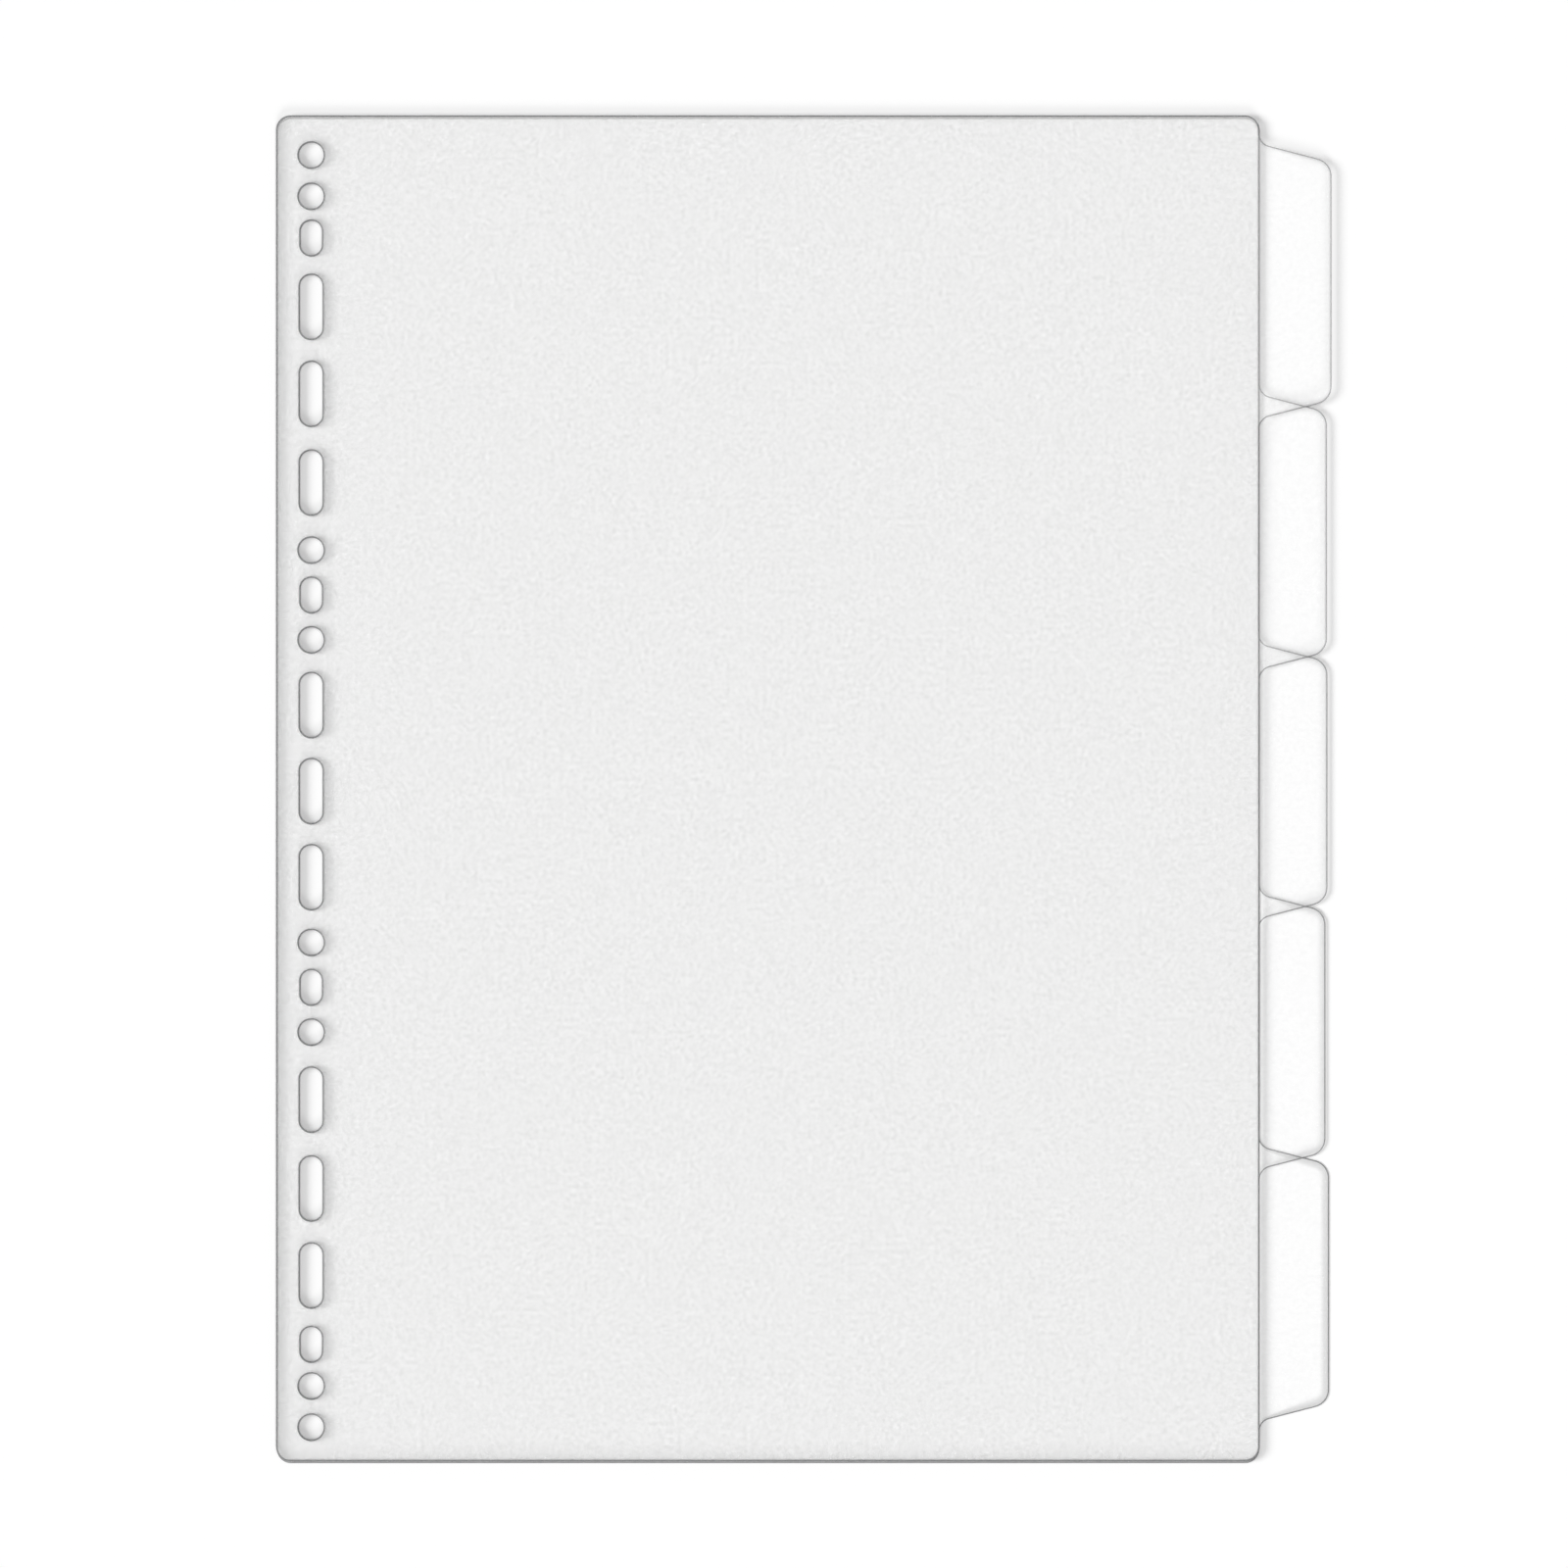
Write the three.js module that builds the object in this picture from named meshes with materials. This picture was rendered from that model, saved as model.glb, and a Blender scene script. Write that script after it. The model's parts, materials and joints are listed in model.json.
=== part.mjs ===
// A set of five tab dividers for a ring binder: loose leaves of frosted plastic sheet,
// each die-cut in one piece with its own tab, the tabs stepped down the right-hand edge.
// All leaves share one universal punching of round holes and slots along the binding edge.
//
// Millimetres. X runs from the binding edge to the tabs, Y up the page, Z up from the table.
// The origin is the middle of the stack's box, on the table.

import * as THREE from 'three';

// Page
const pageWidth = 217;
const pageHeight = 297;
const sheetThickness = 0.3;
const outerCornerRadius = 3.2;

// Stack: loose leaves keep a little air between them
const airGap = 0.1;

// Tabs: the roots of neighbouring tabs overlap, so that the tips stand almost side by side
const tabReach = 15.1;
const tabTopMargin = 6.2;
const tabBottomMargin = 9.2;
const tabRootOverlap = 5.6;
const tabSideAngle = 14.5;
const tabTipRadius = 4;
const tabRootRadius = 2.9;

// Punching: the column's place, and the size of each kind of hole
const holeInset = 7.7;
const roundHoleDiameter = 5.6;
const shortSlotWidth = 4.8;
const shortSlotLength = 7.7;
const longSlotWidth = 5.1;
const longSlotLength = 14.2;
const leastEdgeWeb = 2;

const holeKinds = {
  round: { width: roundHoleDiameter, length: roundHoleDiameter },
  short: { width: shortSlotWidth, length: shortSlotLength },
  long: { width: longSlotWidth, length: longSlotLength },
};

// Hole centres above the middle of the page; the lower half mirrors them
const middleHole = { kind: 'long', height: 0 };
const upperHoles = [
  { kind: 'long', height: 19.0 },
  { kind: 'round', height: 33.4 },
  { kind: 'short', height: 43.3 },
  { kind: 'round', height: 53.2 },
  { kind: 'long', height: 68.1 },
  { kind: 'long', height: 87.7 },
  { kind: 'long', height: 106.9 },
  { kind: 'short', height: 122.1 },
  { kind: 'round', height: 131.3 },
  { kind: 'round', height: 140.4 },
];

// Leaves from the top of the stack to the bottom. The outline of each is cut a little off its
// punching, its tab reaches a little more or less than tabReach, as tabTrim says, and each lies
// a little off the true line of the stack.
const leaves = [
  { name: 'divider_leaf_1', cut: [0, 0.62], tabTrim: 0.8, lay: [-0.04, 0.02], colour: 0xf1f2f2 },
  { name: 'divider_leaf_2', cut: [0.05, 0.55], tabTrim: -0.3, lay: [0, -0.03], colour: 0xf0f1f1 },
  { name: 'divider_leaf_3', cut: [-0.08, 0.66], tabTrim: 0, lay: [-0.03, 0.03], colour: 0xeff0f0 },
  { name: 'divider_leaf_4', cut: [0.04, 0.6], tabTrim: -0.6, lay: [0.03, 0], colour: 0xeeefef },
  { name: 'divider_leaf_5', cut: [0, 0.18], tabTrim: 0.25, lay: [0.02, -0.03], colour: 0xedeeee },
];

// Facets in a quarter turn of an outline's arcs and of a hole's rim
const outlineQuarterSteps = 6;
const holeQuarterSteps = 6;

const leafPitch = sheetThickness + airGap;
const tabPitch = (pageHeight - tabTopMargin - tabBottomMargin - tabRootOverlap) / leaves.length;
const tabRootHeight = tabPitch + tabRootOverlap;
const tabSideSlope = Math.tan(THREE.MathUtils.degToRad(tabSideAngle));

// A closed outline through sharp corners, each rounded by an arc that touches both its sides
function roundedOutline(corners) {
  const points = [];
  corners.forEach((corner, index) => {
    const here = new THREE.Vector2(corner.x, corner.y);
    const before = corners[(index + corners.length - 1) % corners.length];
    const after = corners[(index + 1) % corners.length];
    const arriving = here.clone().sub(new THREE.Vector2(before.x, before.y)).normalize();
    const leaving = new THREE.Vector2(after.x, after.y).sub(here).normalize();
    const turn = Math.atan2(arriving.cross(leaving), arriving.dot(leaving));
    const tangentLength = corner.radius * Math.tan(Math.abs(turn) / 2);
    const arcStart = here.clone().addScaledVector(arriving, -tangentLength);
    const towardsCentre = new THREE.Vector2(-arriving.y, arriving.x).multiplyScalar(Math.sign(turn));
    const centre = arcStart.clone().addScaledVector(towardsCentre, corner.radius);
    const spoke = arcStart.clone().sub(centre);
    const steps = Math.ceil((Math.abs(turn) / (Math.PI / 2)) * outlineQuarterSteps);
    for (let step = 0; step <= steps; step += 1) {
      const angle = (turn * step) / steps;
      points.push(spoke.clone().rotateAround(new THREE.Vector2(), angle).add(centre));
    }
  });
  return points;
}

// Page outline with the tab at one of the positions, counted from the top, anticlockwise
function leafOutline(tabIndex, reach) {
  const top = pageHeight / 2;
  const tabRootTop = top - tabTopMargin - tabIndex * tabPitch;
  const tabRootBottom = tabRootTop - tabRootHeight;
  const tipX = pageWidth + reach;
  const rise = reach * tabSideSlope;
  return roundedOutline([
    { x: 0, y: top, radius: outerCornerRadius },
    { x: 0, y: -top, radius: outerCornerRadius },
    { x: pageWidth, y: -top, radius: outerCornerRadius },
    { x: pageWidth, y: tabRootBottom, radius: tabRootRadius },
    { x: tipX, y: tabRootBottom + rise, radius: tabTipRadius },
    { x: tipX, y: tabRootTop - rise, radius: tabTipRadius },
    { x: pageWidth, y: tabRootTop, radius: tabRootRadius },
    { x: pageWidth, y: top, radius: outerCornerRadius },
  ]);
}

// Rim of a hole that stands upright: two half circles, apart by what its length exceeds its width
function holeRim(kind, height) {
  const { width, length } = holeKinds[kind];
  const radius = width / 2;
  const halfStraight = (length - width) / 2;
  const halfTurnSteps = 2 * holeQuarterSteps;
  const arcSteps = halfStraight > 0 ? halfTurnSteps : halfTurnSteps - 1;
  const points = [];
  [1, -1].forEach((side) => {
    for (let step = 0; step <= arcSteps; step += 1) {
      const angle = (Math.PI * step) / halfTurnSteps;
      const across = side * radius * Math.cos(angle);
      const along = side * (halfStraight + radius * Math.sin(angle));
      points.push(new THREE.Vector2(holeInset + across, height + along));
    }
  });
  return new THREE.Path(points);
}

// The whole punching; a hole that would run out over a short page's edge is left out
function punching() {
  const mirrored = upperHoles.flatMap(({ kind, height }) => [
    { kind, height },
    { kind, height: -height },
  ]);
  const farthest = pageHeight / 2 - leastEdgeWeb;
  return [middleHole, ...mirrored]
    .filter(({ kind, height }) => Math.abs(height) + holeKinds[kind].length / 2 <= farthest)
    .map(({ kind, height }) => holeRim(kind, height));
}

// One leaf: the outline shifted by its cut, the shared punching, and the sheet's thickness
function dividerLeaf(leaf, index) {
  const [cutX, cutY] = leaf.cut;
  const shift = new THREE.Vector2(cutX, cutY);
  const outline = leafOutline(index, tabReach + leaf.tabTrim).map((point) => point.add(shift));
  const shape = new THREE.Shape(outline);
  shape.holes = punching();
  const geometry = new THREE.ExtrudeGeometry(shape, {
    depth: sheetThickness,
    bevelEnabled: false,
    curveSegments: 1,
  });
  const material = new THREE.MeshStandardMaterial({
    color: leaf.colour,
    roughness: 0.45,
    metalness: 0,
    transparent: true,
    opacity: 0.35,
  });
  const mesh = new THREE.Mesh(geometry, material);
  mesh.name = leaf.name;
  const levelsBelow = leaves.length - 1 - index;
  mesh.position.set(leaf.lay[0], leaf.lay[1], levelsBelow * leafPitch);
  return mesh;
}

const stack = new THREE.Group();
leaves.forEach((leaf, index) => stack.add(dividerLeaf(leaf, index)));

// The stack's box is centred on the origin and stands on the table
const group = new THREE.Group();
const middle = new THREE.Box3().setFromObject(stack).getCenter(new THREE.Vector3());
stack.position.set(-middle.x, -middle.y, 0);
group.add(stack);

export default group;
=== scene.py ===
"""Five frosted plastic tab dividers in a square stack, on a white table, seen from straight above."""

import json

import bpy
import numpy as np
from bpy.props import FloatProperty, FloatVectorProperty, IntProperty, PointerProperty
from bpy.types import NodeSocket, Operator, Panel, PropertyGroup
from mathutils import Euler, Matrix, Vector
from mathutils.geometry import delaunay_2d_cdt


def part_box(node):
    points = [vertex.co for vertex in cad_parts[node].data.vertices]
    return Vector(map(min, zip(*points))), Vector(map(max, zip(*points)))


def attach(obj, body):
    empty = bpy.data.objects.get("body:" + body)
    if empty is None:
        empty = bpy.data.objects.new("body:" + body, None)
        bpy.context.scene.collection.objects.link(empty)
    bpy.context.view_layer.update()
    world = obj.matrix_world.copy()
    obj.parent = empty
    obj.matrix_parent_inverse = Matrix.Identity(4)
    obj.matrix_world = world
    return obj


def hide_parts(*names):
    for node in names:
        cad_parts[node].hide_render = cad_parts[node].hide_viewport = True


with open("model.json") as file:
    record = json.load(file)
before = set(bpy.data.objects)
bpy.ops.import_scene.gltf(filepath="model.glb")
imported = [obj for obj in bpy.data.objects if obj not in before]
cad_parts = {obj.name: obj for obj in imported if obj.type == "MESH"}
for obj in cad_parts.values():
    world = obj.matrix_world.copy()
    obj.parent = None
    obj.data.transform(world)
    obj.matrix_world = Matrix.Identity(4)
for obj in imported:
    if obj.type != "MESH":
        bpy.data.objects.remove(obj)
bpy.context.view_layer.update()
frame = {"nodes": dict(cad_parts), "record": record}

bl_info = {
    "name": "Tab Divider Set",
    "version": (1, 0, 0),
    "blender": (4, 5, 0),
    "location": "3D View > Sidebar > Dividers",
    "description": "Builds a stack of frosted plastic tab dividers with universal punching",
    "category": "Add Mesh",
}

MM = 0.001
LEAF_NODES = sorted(name for name in frame["nodes"] if name.startswith("divider_leaf_"))

# Vertex attribute that says how hazy a lip is: 1 at the cut, 0 where it fades into the sheet
HAZE = "lip_haze"

# Camera: width of the view on the table, and its middle
VIEW_WIDTH = 346.2 * MM
VIEW_MIDDLE = (-4.33 * MM, 1.17 * MM)
LENS = 400.0
SENSOR = 36.0

# Lamps: name, bearing, height and width in degrees, and share of the light on the table
LAMPS = (
    ("soft_box_left", 184, 39, 29, 0.40),
    ("soft_box_below", 268, 38, 24, 0.14),
    ("soft_box_overhead", 0, 88, 24, 0.41),
)

# Brightness of the pale room, as it lights the table and as the eye and the plastic see it
ROOM_LIGHT = 0.05
ROOM_SEEN = 1.0

# The table: its size, its air under the bottom leaf, and how much its lacquer brightens it
TABLE_RADIUS = 4.0
TABLE_STEPS = 64
TABLE_DROP = 0.05 * MM
TABLE_GLOW = 0.075

# Light that one face of a sheet lets through, and that a cut edge lets through
FACE_PASSES = 0.997
CUT_PASSES = 0.2

# Light crosses ten faces of frosted plastic on its way down to the table, and ten on its way up
BOUNCES = {
    "max_bounces": 40,
    "transmission_bounces": 32,
    "glossy_bounces": 8,
    "transparent_max_bounces": 48,
}

POLYPROPYLENE_IOR = 1.49
GRAIN_PITCH = 0.9 * MM

# Steps along a lip's section
LIP_STEPS = 4

# Places of the three finishes in a leaf's list of materials
FACE, LIP, CUT = range(3)


def linear(hex_colour):
    """Linear red, green, blue and alpha of an sRGB hex colour, by the sRGB curve."""
    channels = np.array([int(hex_colour[i:i + 2], 16) for i in (1, 3, 5)]) / 255
    low = channels / 12.92
    high = ((channels + 0.055) / 1.055) ** 2.4
    return (*np.where(channels <= 0.04045, low, high).tolist(), 1.0)


def size(name, description, default_mm):
    """A length that a user may change, kept in metres and shown in the scene's unit."""
    return FloatProperty(
        name=name,
        description=description,
        default=default_mm * MM,
        min=0,
        unit="LENGTH",
        precision=5,
    )


def colour(name, description, hex_colour):
    """A colour that a user may change, given as the sRGB hex that the eye sees."""
    return FloatVectorProperty(
        name=name,
        description=description,
        default=linear(hex_colour),
        size=4,
        min=0,
        max=1,
        subtype="COLOR",
    )


class LeafSizes(PropertyGroup):
    """The sizes that every leaf of the set shares."""

    corner_radius: size("Corner radius", "Rounding of the page's outer corners", 3.2)
    tab_top_margin: size("Top margin", "From the page's top to the first tab's root", 6.2)
    tab_bottom_margin: size("Bottom margin", "From the last tab's root to the page's bottom", 9.2)
    tab_root_overlap: size("Root overlap", "How far the roots of neighbouring tabs overlap", 5.6)
    tab_side_angle: FloatProperty(
        name="Side angle", description="Lean of a tab's sides", default=np.radians(14.5), subtype="ANGLE"
    )
    tab_tip_radius: size("Tip radius", "Rounding of a tab's outer corners", 4.0)
    tab_root_radius: size("Root radius", "Fillet between a tab and the page's edge", 2.9)
    round_hole: size("Round hole", "Diameter of the round holes", 5.6)
    short_slot_width: size("Short slot width", "Width of the short slots", 4.8)
    short_slot_length: size("Short slot length", "Length of the short slots", 7.7)
    long_slot_width: size("Long slot width", "Width of the long slots", 5.1)
    long_slot_length: size("Long slot length", "Length of the long slots", 14.2)


class EdgeFinish(PropertyGroup):
    """The shape that the cutting rule leaves on every edge of a sheet."""

    cut_width: size("Cut width", "How far the rounding of the cut reaches into the sheet", 0.24)
    lip_width: size("Lip width", "Width of the pressed lip beside a cut edge", 0.42)
    tab_lip_width: size("Tab lip width", "Width of the softer lip round a tab", 2.1)
    lip_height: size("Lip height", "How far the lip stands proud of the sheet", 0.004)
    quarter_steps: IntProperty(
        name="Arc steps", description="Facets in a quarter turn of an outline or a hole", default=16, min=2
    )
    round_steps: IntProperty(
        name="Edge steps", description="Facets across the rounded cut edge", default=8, min=2
    )


class SheetColours(PropertyGroup):
    """The colours of the plastic and of the table."""

    frosted: colour("Frosted face", "Milky white of the embossed faces", "#FFFFFF")
    grain: colour("Frost grain", "Slightly greyer specks of the frost", "#FCFCFC")
    # Painted shade: this grey stands in for the darkness that a clear cut edge shows from above where it
    # bends light sideways; the plastic itself is not grey there
    cut_edge: colour("Cut edge", "Grey of a cut edge, which sends light sideways", "#A2A3A4")
    table: colour("Table", "White of the table top", "#F7F7F7")


# Rays by which the eye sees a surface, directly, in gloss or through the plastic
SIGHT = ("Is Camera Ray", "Is Glossy Ray", "Is Transmission Ray")

# Width of the binding strip, measured from the page's left edge
STRIP_WIDTH = 13 * MM

# How far the rounding of a corner reaches, in corner radii, with a little to spare
CORNER_REACH = 1.1

# Lengths below this, in metres, count as nothing
TINY = 1e-9

# Hole centres above the middle of the page, in millimetres; the lower half mirrors them
MIDDLE_HOLE = ("long", 0.0)
UPPER_HOLES = (
    ("long", 19.0),
    ("round", 33.4),
    ("short", 43.3),
    ("round", 53.2),
    ("long", 68.1),
    ("long", 87.7),
    ("long", 106.9),
    ("short", 122.1),
    ("round", 131.3),
    ("round", 140.4),
)


def rounded_outline(corners, quarter_steps):
    """Points of a closed outline through corners (x, y, radius), each rounded by a tangent arc.

    An arc starts radius * tan(turn / 2) before its corner and sweeps the turn about a centre
    that lies one radius to the side the outline turns to.
    """
    places = np.array([corner[:2] for corner in corners])
    radii = np.array([corner[2] for corner in corners])
    arriving = places - np.roll(places, 1, axis=0)
    arriving /= np.linalg.norm(arriving, axis=1)[:, None]
    leaving = np.roll(arriving, -1, axis=0)
    turn = np.arctan2(
        arriving[:, 0] * leaving[:, 1] - arriving[:, 1] * leaving[:, 0], (arriving * leaving).sum(1)
    )
    side = np.stack([-arriving[:, 1], arriving[:, 0]], axis=1) * np.sign(turn)[:, None]
    start = places - arriving * (radii * np.tan(np.abs(turn) / 2))[:, None]
    centre = start + side * radii[:, None]
    arcs = []
    for corner, angle in enumerate(turn):
        steps = int(np.ceil(abs(angle) / (np.pi / 2) * quarter_steps))
        sweep = np.linspace(0, angle, steps + 1)[:, None]
        spoke = start[corner] - centre[corner]
        across = np.array([-spoke[1], spoke[0]])
        arcs.append(centre[corner] + np.cos(sweep) * spoke + np.sin(sweep) * across)
    return np.concatenate(arcs)


def hole_outline(centre, width, length, quarter_steps):
    """Points of an upright hole, clockwise: a circle whose halves are parted by length - width."""
    steps = 2 * quarter_steps
    angle = np.linspace(0, np.pi, steps + 1)
    apart = (length - width) / 2
    if apart < TINY:
        angle = angle[:-1]
    upper = np.stack([np.cos(angle) * width / 2, np.sin(angle) * width / 2 + apart], axis=1)
    return centre + np.concatenate([upper, -upper])[::-1]


def outward(path):
    """Unit normals of a closed path, to the right of its direction of travel."""
    ahead = np.roll(path, -1, axis=0) - path
    ahead /= np.linalg.norm(ahead, axis=1)[:, None]
    along = ahead + np.roll(ahead, 1, axis=0)
    along /= np.linalg.norm(along, axis=1)[:, None]
    return np.stack([along[:, 1], -along[:, 0]], axis=1)


def edge_profile(finish, thickness):
    """The edge's section from the top face to the bottom one: inset, share of the lip, and height.

    Half an ellipse as tall as the sheet forms the cut; the lip beside it swells by a sine. The
    share runs from 1 where the lip begins to 0 at the cut. The last value is true for each step
    along the section that belongs to the cut.
    """
    half = thickness / 2
    cut = finish.cut_width
    swell = np.arange(LIP_STEPS) / LIP_STEPS
    lip_height = half + finish.lip_height * np.sin(np.pi * swell)
    angle = np.linspace(0, np.pi, 2 * finish.round_steps + 1)
    beside_cut = np.full(LIP_STEPS, cut)
    inset = np.concatenate([beside_cut, cut * (1 - np.sin(angle)), beside_cut])
    share = np.concatenate([1 - swell, np.zeros(len(angle)), (1 - swell)[::-1]])
    height = np.concatenate([lip_height, half * np.cos(angle), np.full(LIP_STEPS, -half)])
    step = np.arange(len(inset) - 1)
    return inset, share, height, (step >= LIP_STEPS) & (step < LIP_STEPS + len(angle) - 1)


def cut_edge(path, inset, height, middle_height):
    """Vertices and quads of an edge: its section carried round a closed path, set in from it.

    The inset is given for every height of the section and every point of the path.
    """
    normals = outward(path)
    flat = path[None, :, :] - inset[:, :, None] * normals[None, :, :]
    rows, columns = flat.shape[:2]
    lift = np.broadcast_to(height[:, None, None] + middle_height, (rows, columns, 1))
    vertices = np.concatenate([flat, lift], axis=2).reshape(-1, 3)
    row, column = np.meshgrid(np.arange(rows - 1), np.arange(columns), indexing="ij")
    here = row * columns + column
    beside = row * columns + (column + 1) % columns
    quads = np.stack([here, here + columns, beside + columns, beside], axis=-1).reshape(-1, 4)
    return vertices, quads


def inside(points, loops):
    """True for each point that an odd number of loop edges lies to the right of."""
    crossings = np.zeros(len(points), int)
    for loop in loops:
        a, b = loop, np.roll(loop, -1, axis=0)
        spans = (a[None, :, 1] > points[:, None, 1]) != (b[None, :, 1] > points[:, None, 1])
        rise = np.where(b[:, 1] == a[:, 1], 1, b[:, 1] - a[:, 1])
        share = (points[:, None, 1] - a[None, :, 1]) / rise[None, :]
        crossing_x = a[None, :, 0] + share * (b[:, 0] - a[:, 0])[None, :]
        crossings += (spans & (points[:, None, 0] < crossing_x)).sum(1)
    return crossings % 2 == 1


def filled(loops):
    """Triangles between an outer loop and the hole loops, as indices into their joined points."""
    points = np.concatenate(loops)
    starts = np.cumsum([0] + [len(loop) for loop in loops])
    edges = np.concatenate([
        np.stack([np.arange(n), (np.arange(n) + 1) % n], axis=1) + start
        for start, n in zip(starts, (len(loop) for loop in loops))
    ])
    found = delaunay_2d_cdt([Vector(p) for p in points], edges.tolist(), [], 0, TINY)
    places = np.array(found[0])
    triangles = np.array(found[2])
    source = np.array([origin[0] for origin in found[3]])
    centres = places[triangles].mean(axis=1)
    return source[triangles[inside(centres, loops)]]


def flat_places(node):
    """Plan places of a frame node's vertices."""
    mesh = frame["nodes"][node].data
    places = np.zeros(len(mesh.vertices) * 3)
    mesh.vertices.foreach_get("co", places)
    return places.reshape(-1, 3)[:, :2]


def punching_centre(places, sizes, low):
    """Middle of a leaf's punching: the centre of the vertices just inside the page's left edge."""
    inset = places[:, 0] - low.x
    strip = places[(inset > sizes.corner_radius * CORNER_REACH) & (inset < STRIP_WIDTH)]
    return (strip.min(0) + strip.max(0)) / 2


def page_right_edge(places, sizes, high):
    """The page's edge beside its tab: the furthest vertex level with the top corner's rounding."""
    return places[places[:, 1] > high.y - sizes.corner_radius * CORNER_REACH][:, 0].max()


def leaf_outline(sizes, finish, low, high, page_right, tab_index, tab_count):
    """A page with the tab at one of the places down its right-hand edge, anticlockwise."""
    spread = high.y - low.y - sizes.tab_top_margin - sizes.tab_bottom_margin
    pitch = (spread - sizes.tab_root_overlap) / tab_count
    root_top = high.y - sizes.tab_top_margin - tab_index * pitch
    root_bottom = root_top - pitch - sizes.tab_root_overlap
    rise = (high.x - page_right) * np.tan(sizes.tab_side_angle)
    corners = (
        (low.x, high.y, sizes.corner_radius),
        (low.x, low.y, sizes.corner_radius),
        (page_right, low.y, sizes.corner_radius),
        (page_right, root_bottom, sizes.tab_root_radius),
        (high.x, root_bottom + rise, sizes.tab_tip_radius),
        (high.x, root_top - rise, sizes.tab_tip_radius),
        (page_right, root_top, sizes.tab_root_radius),
        (page_right, high.y, sizes.corner_radius),
    )
    return rounded_outline(corners, finish.quarter_steps)


def punching(sizes, finish, centre):
    """Outlines of every hole: the middle one, and each upper hole with its mirror image below."""
    kinds = {
        "round": (sizes.round_hole, sizes.round_hole),
        "short": (sizes.short_slot_width, sizes.short_slot_length),
        "long": (sizes.long_slot_width, sizes.long_slot_length),
    }
    holes = [MIDDLE_HOLE, *UPPER_HOLES, *((kind, -height) for kind, height in UPPER_HOLES)]
    return [
        hole_outline(centre + (0, height * MM), *kinds[kind], finish.quarter_steps)
        for kind, height in holes
    ]


def tab_share(path, page_right, reach):
    """How far each point belongs to a tab, from 0 to 1.

    It is t * t * (3 - 2 * t), where t runs from 0 at the page's edge to 1 halfway out.
    """
    t = np.clip((path[:, 0] - page_right) / (reach / 2), 0, 1)
    return t * t * (3 - 2 * t)


def build_leaf(name, node, tab_index, tab_count, sizes, finish, materials):
    """One sheet: a cut edge round its outline and each hole, and two faces between them.

    The haze of a lip is 1 - on_tab * share squared, so only a tab's lip fades into its face.
    """
    low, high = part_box(node)
    thickness = high.z - low.z
    middle_height = (low.z + high.z) / 2
    places = flat_places(node)
    page_right = page_right_edge(places, sizes, high)
    paths = [leaf_outline(sizes, finish, low, high, page_right, tab_index, tab_count)]
    paths += punching(sizes, finish, punching_centre(places, sizes, low))
    inset, share, height, is_cut = edge_profile(finish, thickness)
    wider = finish.tab_lip_width - finish.lip_width
    edges = []
    haze = []
    for path in paths:
        on_tab = tab_share(path, page_right, high.x - page_right)
        lip = finish.lip_width + wider * on_tab - finish.cut_width
        edges.append(cut_edge(path, inset[:, None] + share[:, None] * lip, height, middle_height))
        haze.append((1 - on_tab * share[:, None] ** 2).ravel())
    starts = np.cumsum([0] + [len(vertices) for vertices, _ in edges])
    vertices = np.concatenate([part for part, _ in edges])
    quads = np.concatenate([part + start for start, (_, part) in zip(starts, edges)])
    face_loops = [part[:len(path), :2] for (part, _), path in zip(edges, paths)]
    triangles = filled(face_loops)
    top_index = np.concatenate([
        np.arange(len(path)) + start for start, path in zip(starts, paths)
    ])
    bottom_index = np.concatenate([
        np.arange(len(part) - len(path), len(part)) + start
        for start, (part, _), path in zip(starts, edges, paths)
    ])
    top = top_index[triangles]
    bottom = bottom_index[triangles[:, ::-1]]
    faces = [*quads.tolist(), *top.tolist(), *bottom.tolist()]
    mesh = bpy.data.meshes.new(name)
    mesh.from_pydata(vertices.tolist(), [], faces)
    finishes = np.full(len(faces), FACE, np.int32)
    # The cut faces take the cut-edge material, whose grey is painted shade for the darkness of a clear
    # edge that bends light aside
    finishes[:len(quads)] = np.concatenate([
        np.repeat(np.where(is_cut, CUT, LIP), len(path)) for path in paths
    ])
    mesh.polygons.foreach_set("use_smooth", finishes != FACE)
    for material in materials:
        mesh.materials.append(material)
    mesh.polygons.foreach_set("material_index", finishes)
    mesh.attributes.new(HAZE, "FLOAT", "POINT").data.foreach_set("value", np.concatenate(haze))
    mesh.validate()
    mesh.update()
    piece = bpy.data.objects.new(name, mesh)
    bpy.context.scene.collection.objects.link(piece)
    return piece


def add_node(tree, kind, settings=None, inputs=None):
    """Adds a node; each input is a value, or the socket that feeds it."""
    node = tree.nodes.new(kind)
    for name, value in (settings or {}).items():
        setattr(node, name, value)
    for name, value in (inputs or {}).items():
        if isinstance(value, NodeSocket):
            tree.links.new(value, node.inputs[name])
        else:
            node.inputs[name].default_value = value
    return node


def new_material(name):
    """An empty node material and its tree."""
    material = bpy.data.materials.new(name)
    material.use_nodes = True
    material.node_tree.nodes.clear()
    return material, material.node_tree


def greatest(tree, *rays):
    """The greatest of several kinds of ray, each 0 or 1: 1 where any of them is meant."""
    path = add_node(tree, "ShaderNodeLightPath")
    found = path.outputs[rays[0]]
    for ray in rays[1:]:
        either = {0: found, 1: path.outputs[ray]}
        found = add_node(tree, "ShaderNodeMath", {"operation": "MAXIMUM"}, either).outputs[0]
    return found


def lit_through(tree, surface, light_passed):
    """Lets light rays pass straight through a thin sheet, tinted, while sight meets its surface.

    What passes is a colour or the socket that gives one.
    """
    light_ray = greatest(tree, "Is Shadow Ray", "Is Diffuse Ray")
    clear = add_node(tree, "ShaderNodeBsdfTransparent", inputs={"Color": light_passed})
    mixed = add_node(
        tree, "ShaderNodeMixShader", inputs={0: light_ray, 1: surface, 2: clear.outputs[0]}
    )
    add_node(tree, "ShaderNodeOutputMaterial", inputs={"Surface": mixed.outputs[0]})


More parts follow.
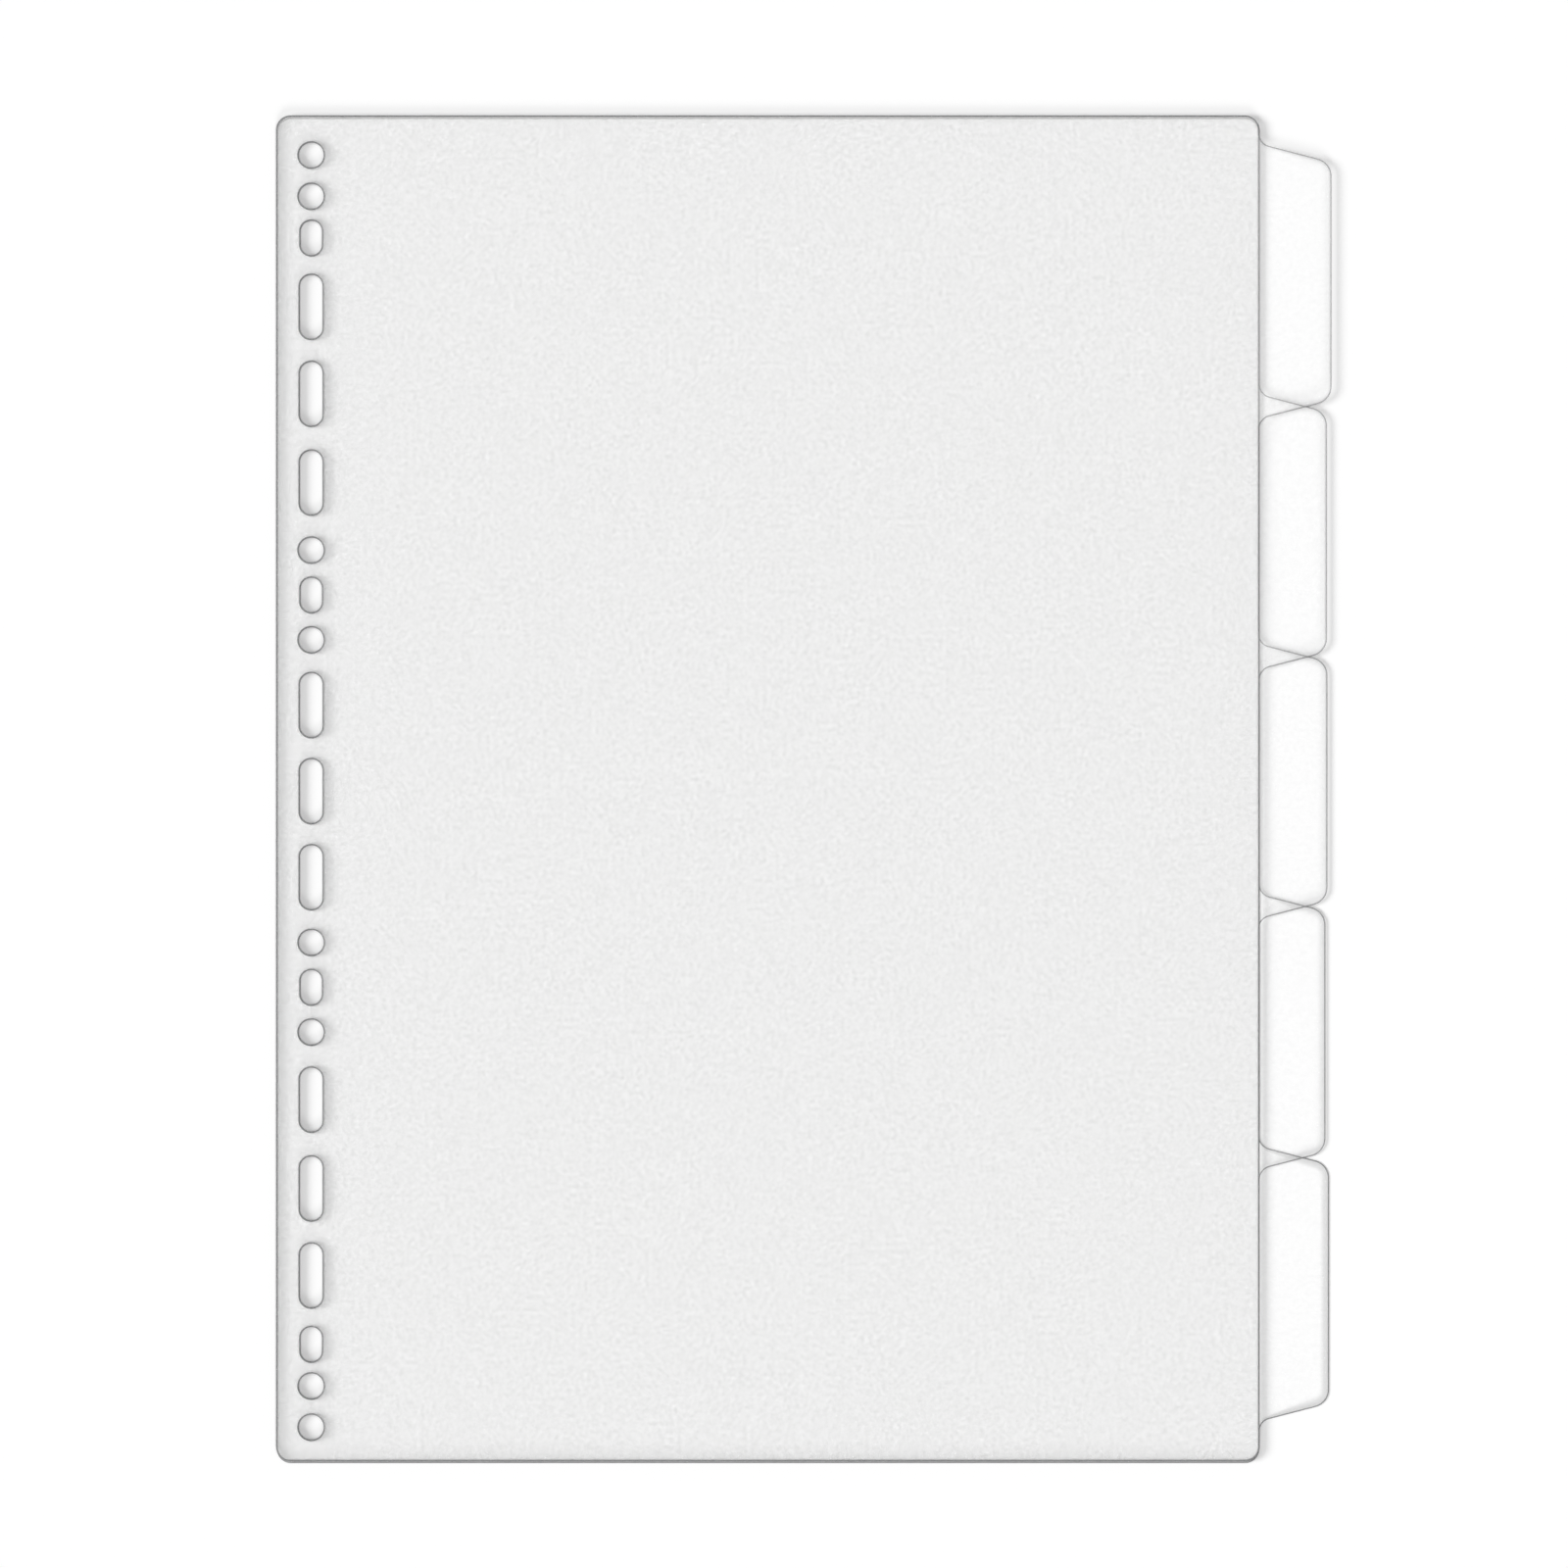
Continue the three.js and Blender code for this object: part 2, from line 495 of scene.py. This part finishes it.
def lip_light(tree):
    """What a pressed lip lets through: 1 - haze * slant, so it holds back only slanting light."""
    haze = add_node(tree, "ShaderNodeAttribute", {"attribute_name": HAZE})
    slant = add_node(tree, "ShaderNodeLayerWeight", inputs={"Blend": 0.5})
    held = add_node(
        tree,
        "ShaderNodeMath",
        {"operation": "MULTIPLY"},
        {0: haze.outputs["Fac"], 1: slant.outputs["Facing"]},
    )
    passed = add_node(
        tree, "ShaderNodeMath", {"operation": "SUBTRACT"}, {0: 1.0, 1: held.outputs[0]}
    )
    return passed.outputs[0]


def frosted_polypropylene(name, colours, is_lip):
    """Calendered polypropylene, embossed with a fine frost.

    It looks milky and satin, with a faint mottling, and lets the sheets below show through.
    """
    material, tree = new_material(name)
    place = add_node(tree, "ShaderNodeTexCoord")
    frost = add_node(
        tree,
        "ShaderNodeTexNoise",
        inputs={
            "Vector": place.outputs["Object"],
            "Scale": 1 / GRAIN_PITCH,
            "Detail": 1.0,
            "Roughness": 0.5,
        },
    )
    specks = add_node(
        tree,
        "ShaderNodeMapRange",
        inputs={"Value": frost.outputs["Fac"], "From Min": 0.37, "From Max": 0.58},
    )
    tone = add_node(
        tree,
        "ShaderNodeMix",
        {"data_type": "RGBA"},
        {"Factor": specks.outputs[0], 6: colours.grain, 7: colours.frosted},
    )
    bump = add_node(
        tree,
        "ShaderNodeBump",
        inputs={"Strength": 0.25, "Distance": 0.02 * MM, "Height": frost.outputs["Fac"]},
    )
    surface = add_node(
        tree,
        "ShaderNodeBsdfPrincipled",
        inputs={
            "Base Color": tone.outputs[2],
            "Roughness": 0.16,
            "IOR": POLYPROPYLENE_IOR,
            "Transmission Weight": 0.96,
            "Normal": bump.outputs["Normal"],
        },
    )
    light_passed = lip_light(tree) if is_lip else (FACE_PASSES, FACE_PASSES, FACE_PASSES, 1)
    lit_through(tree, surface.outputs[0], light_passed)
    return material


def painted_shade_die_cut_edge(colours):
    """The die-cut edge of the sheet, with painted shade: it sends light sideways, so it looks grey from
    above, and a grey colour is painted on to stand in for that darkness.
    """
    material, tree = new_material("die_cut_polypropylene_edge_painted_shade")
    surface = add_node(
        tree,
        "ShaderNodeBsdfPrincipled",
        inputs={
            # Painted shade: a grey base colour laid on at alpha 0.44 darkens the edge where light bending
            # in the clear cut would darken it
            "Base Color": colours.cut_edge,
            "Roughness": 0.4,
            "IOR": POLYPROPYLENE_IOR,
            "Alpha": 0.44,
        },
    )
    lit_through(tree, surface.outputs[0], (CUT_PASSES, CUT_PASSES, CUT_PASSES, 1))
    return material


def white_table(colours):
    """A white lacquered table top: matt, and white to the eye where no shadow lies."""
    material, tree = new_material("white_lacquered_table")
    seen = greatest(tree, *SIGHT)
    glow = add_node(tree, "ShaderNodeMath", {"operation": "MULTIPLY"}, {0: seen, 1: TABLE_GLOW})
    surface = add_node(
        tree,
        "ShaderNodeBsdfPrincipled",
        inputs={
            "Base Color": colours.table,
            "Roughness": 0.9,
            "Specular IOR Level": 0.0,
            "Emission Color": (1, 1, 1, 1),
            "Emission Strength": glow.outputs[0],
        },
    )
    add_node(tree, "ShaderNodeOutputMaterial", inputs={"Surface": surface.outputs[0]})
    return material


class DIVIDERS_OT_camera(Operator):
    """Place the camera straight above the stack, a little left of and above its middle."""

    bl_idname = "dividers.camera"
    bl_label = "Camera"

    def execute(self, context):
        data = bpy.data.cameras.new("camera")
        data.lens = LENS
        data.sensor_width = SENSOR
        data.clip_start = 0.05
        data.clip_end = 20
        camera = bpy.data.objects.new("camera", data)
        camera.location = (*VIEW_MIDDLE, VIEW_WIDTH * LENS / SENSOR)
        context.scene.collection.objects.link(camera)
        context.scene.camera = camera
        return {"FINISHED"}


class DIVIDERS_OT_leaves(Operator):
    """Build the five sheets over their frame nodes, each riding on its own body."""

    bl_idname = "dividers.leaves"
    bl_label = "Leaves"

    def execute(self, context):
        if not LEAF_NODES:
            raise RuntimeError("The frame has no divider leaves")
        scene = context.scene
        colours = scene.divider_colours
        bodies = frame["record"]["behaviour"]["bodies"]
        materials = (
            frosted_polypropylene("frosted_polypropylene_calendered", colours, False),
            frosted_polypropylene("frosted_polypropylene_pressed_lip", colours, True),
            painted_shade_die_cut_edge(colours),
        )
        for index, node in enumerate(LEAF_NODES):
            piece = build_leaf(
                f"divider_sheet_{index + 1}",
                node,
                index,
                len(LEAF_NODES),
                scene.divider_sizes,
                scene.divider_edges,
                materials,
            )
            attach(piece, next(body for body, nodes in bodies.items() if node in nodes))
            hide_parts(node)
        return {"FINISHED"}


def far_lamp(scene, name, bearing, height, width, share):
    """A soft box so far off that it lights the table evenly; its angles are in degrees.

    The bearing is counted from +X towards +Y, and the height from the table up. A lamp of
    strength pi * share / sin(height) gives that share of the light that shows a white table white.
    """
    data = bpy.data.lights.new(name, "SUN")
    data.angle = np.radians(width)
    data.energy = np.pi * share / np.sin(np.radians(height))
    lamp = bpy.data.objects.new(name, data)
    lamp.rotation_euler = Euler((0, np.radians(90 - height), np.radians(bearing)))
    lamp.visible_glossy = False
    lamp.visible_transmission = False
    scene.collection.objects.link(lamp)


class DIVIDERS_OT_studio(Operator):
    """Set up the white table, the pale room, and soft boxes on the left, below and overhead."""

    bl_idname = "dividers.studio"
    bl_label = "Studio"

    def execute(self, context):
        scene = context.scene
        scene.view_settings.view_transform = "Standard"
        for kind, count in BOUNCES.items():
            setattr(scene.cycles, kind, count)
        self.build_table(scene)
        self.build_room(scene)
        for lamp in LAMPS:
            far_lamp(scene, *lamp)
        return {"FINISHED"}

    def build_table(self, scene):
        """A round table far wider than the view, just under the bottom leaf."""
        angle = 2 * np.pi * np.arange(TABLE_STEPS) / TABLE_STEPS
        height = np.full(TABLE_STEPS, -TABLE_DROP)
        rim = [TABLE_RADIUS * np.cos(angle), TABLE_RADIUS * np.sin(angle), height]
        mesh = bpy.data.meshes.new("table")
        mesh.from_pydata(np.stack(rim, axis=1).tolist(), [], [list(range(TABLE_STEPS))])
        mesh.materials.append(white_table(scene.divider_colours))
        table = bpy.data.objects.new("table", mesh)
        scene.collection.objects.link(table)

    def build_room(self, scene):
        """Even pale light from all round, which sight, gloss and glass see as white."""
        world = bpy.data.worlds.new("pale_room")
        world.use_nodes = True
        world.cycles.sampling_method = "NONE"
        tree = world.node_tree
        tree.nodes.clear()
        strength = add_node(
            tree,
            "ShaderNodeMapRange",
            inputs={"Value": greatest(tree, *SIGHT), "To Min": ROOM_LIGHT, "To Max": ROOM_SEEN},
        )
        room = add_node(
            tree,
            "ShaderNodeBackground",
            inputs={"Color": (1, 1, 1, 1), "Strength": strength.outputs[0]},
        )
        add_node(tree, "ShaderNodeOutputWorld", inputs={"Surface": room.outputs[0]})
        scene.world = world


class DIVIDERS_PT_panel(Panel):
    """Sidebar panel that lists the set's sizes, finishes and steps."""

    bl_label = "Tab Divider Set"
    bl_space_type = "VIEW_3D"
    bl_region_type = "UI"
    bl_category = "Dividers"

    def draw(self, context):
        scene = context.scene
        for step in STEPS:
            self.layout.operator(step.bl_idname)
        for settings in (scene.divider_sizes, scene.divider_edges, scene.divider_colours):
            column = self.layout.column()
            for name in settings.__annotations__:
                column.prop(settings, name)


STEPS = (DIVIDERS_OT_camera, DIVIDERS_OT_leaves, DIVIDERS_OT_studio)
CLASSES = (LeafSizes, EdgeFinish, SheetColours, *STEPS, DIVIDERS_PT_panel)


def register():
    """Registers the classes and hangs the settings on the scene."""
    for cls in CLASSES:
        bpy.utils.register_class(cls)
    bpy.types.Scene.divider_sizes = PointerProperty(type=LeafSizes)
    bpy.types.Scene.divider_edges = PointerProperty(type=EdgeFinish)
    bpy.types.Scene.divider_colours = PointerProperty(type=SheetColours)


def unregister():
    """Takes the settings and the classes away again."""
    del bpy.types.Scene.divider_colours
    del bpy.types.Scene.divider_edges
    del bpy.types.Scene.divider_sizes
    for cls in reversed(CLASSES):
        bpy.utils.unregister_class(cls)


def main():
    """Registers the add-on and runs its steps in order."""
    register()
    bpy.ops.dividers.camera()
    bpy.ops.dividers.leaves()
    bpy.ops.dividers.studio()


if __name__ == "__main__":
    main()
